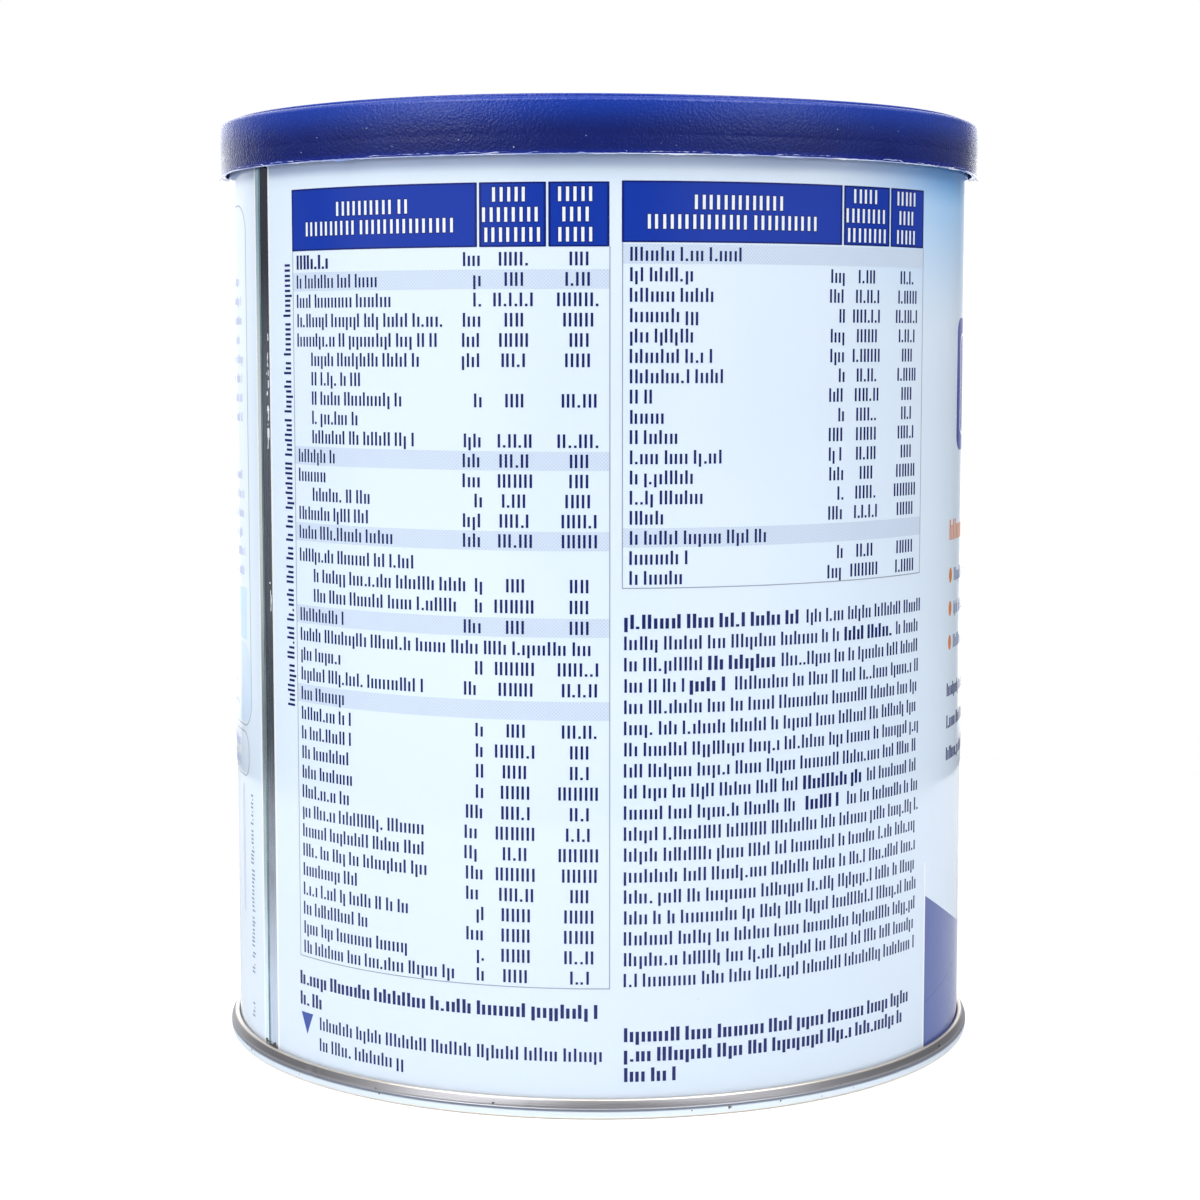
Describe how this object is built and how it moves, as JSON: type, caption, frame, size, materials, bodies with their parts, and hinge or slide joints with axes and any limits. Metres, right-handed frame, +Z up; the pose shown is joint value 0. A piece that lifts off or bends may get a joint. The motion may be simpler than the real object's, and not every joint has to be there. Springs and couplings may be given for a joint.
{
  "type": "milk powder tin",
  "caption": "Round steel tin for milk powder with a seamed steel base, a welded side seam, a printed label and a push-on plastic lid.",
  "frame": {"origin": "centre of the ring that the tin rests on, at the middle of the base", "axes": "+Z up along the tin's axis; -Y towards the back panel of the label; +X to the right seen from there"},
  "size_m": [0.1304, 0.1304, 0.1566],
  "materials": {
    "printed_steel": "gloss varnish over a pale icy blue print, with navy and blue label fields",
    "bare_steel": "bare tinplate, rolled, with light scuffs",
    "blue_plastic": "satin moulded polyethylene in royal blue"
  },
  "bodies": {
    "root": {"body": "printed_steel", "base": "bare_steel", "lid": "blue_plastic"}
  },
  "joints": []
}
